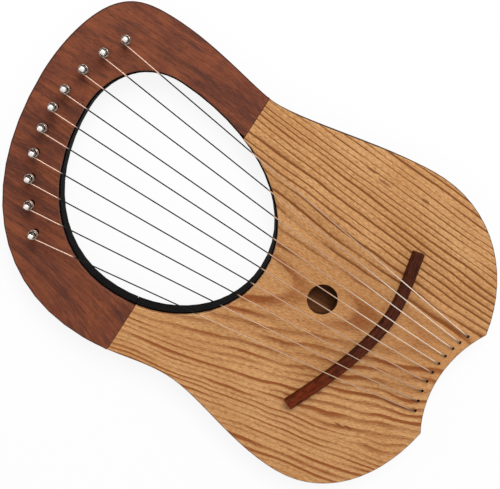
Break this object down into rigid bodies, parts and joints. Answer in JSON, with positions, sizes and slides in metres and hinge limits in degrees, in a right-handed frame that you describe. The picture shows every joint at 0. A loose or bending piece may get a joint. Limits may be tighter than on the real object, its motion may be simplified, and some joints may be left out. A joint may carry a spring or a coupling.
{
  "type": "lyre harp",
  "caption": "Small lyre-shaped harp with a pear-shaped sound box, arms and a curved yoke round an open centre; strings run from the tail over a low bridge to turning pins on the yoke.",
  "frame": {"origin": "middle of the outline's box, on the plane of the back that the harp lies on", "axes": "+Z out of the front, through the strings; +Y along the strings, from the tail to the yoke; +X to the right as seen from the front"},
  "size_m": [0.269, 0.4, 0.0455],
  "materials": {
    "ash": "satin lacquer, pale tan wood with strong brown grain",
    "rosewood": "satin lacquer, red-brown wood with dark streaks",
    "dark_rosewood": "polished, very dark red-brown wood",
    "ebonised": "stained near black, satin",
    "spruce": "bare pale wood",
    "nickel": "nickel plated, bright",
    "steel": "plain drawn wire",
    "brass": "turned, plain"
  },
  "bodies": {
    "harp_body": {"soundboard": "ash", "back_plate": "ebonised", "yoke_face": "rosewood", "yoke_block": "ebonised", "tail_block": "ebonised", "left_rib": "ebonised", "right_rib": "ebonised", "opening_rib": "ebonised", "left_arm_block": "spruce", "right_arm_block": "spruce", "left_dowel_1": "spruce", "left_dowel_2": "spruce", "right_dowel_1": "spruce", "right_dowel_2": "spruce", "soundboard_brace": "spruce", "back_brace": "spruce", "bridge": "dark_rosewood", "string_01": "steel", "string_02": "steel", "string_03": "steel", "string_04": "steel", "string_05": "steel", "string_06": "steel", "string_07": "steel", "string_08": "steel", "string_09": "steel", "string_10": "steel", "ball_end_01": "brass", "ball_end_02": "brass", "ball_end_03": "brass", "ball_end_04": "brass", "ball_end_05": "brass", "ball_end_06": "brass", "ball_end_07": "brass", "ball_end_08": "brass", "ball_end_09": "brass", "ball_end_10": "brass"},
    "pin_01": {"tuning_pin_01": "nickel", "winding_01": "steel"},
    "pin_02": {"tuning_pin_02": "nickel", "winding_02": "steel"},
    "pin_03": {"tuning_pin_03": "nickel", "winding_03": "steel"},
    "pin_04": {"tuning_pin_04": "nickel", "winding_04": "steel"},
    "pin_05": {"tuning_pin_05": "nickel", "winding_05": "steel"},
    "pin_06": {"tuning_pin_06": "nickel", "winding_06": "steel"},
    "pin_07": {"tuning_pin_07": "nickel", "winding_07": "steel"},
    "pin_08": {"tuning_pin_08": "nickel", "winding_08": "steel"},
    "pin_09": {"tuning_pin_09": "nickel", "winding_09": "steel"},
    "pin_10": {"tuning_pin_10": "nickel", "winding_10": "steel"}
  },
  "joints": [
    {"name": "pin_01_turn", "type": "hinge", "parent": "harp_body", "child": "pin_01", "pos_m": [0.08974, 0.16012, 0.026], "axis": [0, 0, 1], "range_deg": [-90, 1110]},
    {"name": "pin_02_turn", "type": "hinge", "parent": "harp_body", "child": "pin_02", "pos_m": [0.07356, 0.16855, 0.026], "axis": [0, 0, 1], "range_deg": [-90, 1110]},
    {"name": "pin_03_turn", "type": "hinge", "parent": "harp_body", "child": "pin_03", "pos_m": [0.05569, 0.17482, 0.026], "axis": [0, 0, 1], "range_deg": [-90, 1110]},
    {"name": "pin_04_turn", "type": "hinge", "parent": "harp_body", "child": "pin_04", "pos_m": [0.03643, 0.17853, 0.026], "axis": [0, 0, 1], "range_deg": [-90, 1110]},
    {"name": "pin_05_turn", "type": "hinge", "parent": "harp_body", "child": "pin_05", "pos_m": [0.02072, 0.1794, 0.026], "axis": [0, 0, 1], "range_deg": [-90, 1110]},
    {"name": "pin_06_turn", "type": "hinge", "parent": "harp_body", "child": "pin_06", "pos_m": [0.00365, 0.17819, 0.026], "axis": [0, 0, 1], "range_deg": [-90, 1110]},
    {"name": "pin_07_turn", "type": "hinge", "parent": "harp_body", "child": "pin_07", "pos_m": [-0.01531, 0.17414, 0.026], "axis": [0, 0, 1], "range_deg": [-90, 1110]},
    {"name": "pin_08_turn", "type": "hinge", "parent": "harp_body", "child": "pin_08", "pos_m": [-0.03326, 0.16743, 0.026], "axis": [0, 0, 1], "range_deg": [-90, 1110]},
    {"name": "pin_09_turn", "type": "hinge", "parent": "harp_body", "child": "pin_09", "pos_m": [-0.0506, 0.1578, 0.026], "axis": [0, 0, 1], "range_deg": [-90, 1110]},
    {"name": "pin_10_turn", "type": "hinge", "parent": "harp_body", "child": "pin_10", "pos_m": [-0.06797, 0.14411, 0.026], "axis": [0, 0, 1], "range_deg": [-90, 1110]}
  ]
}
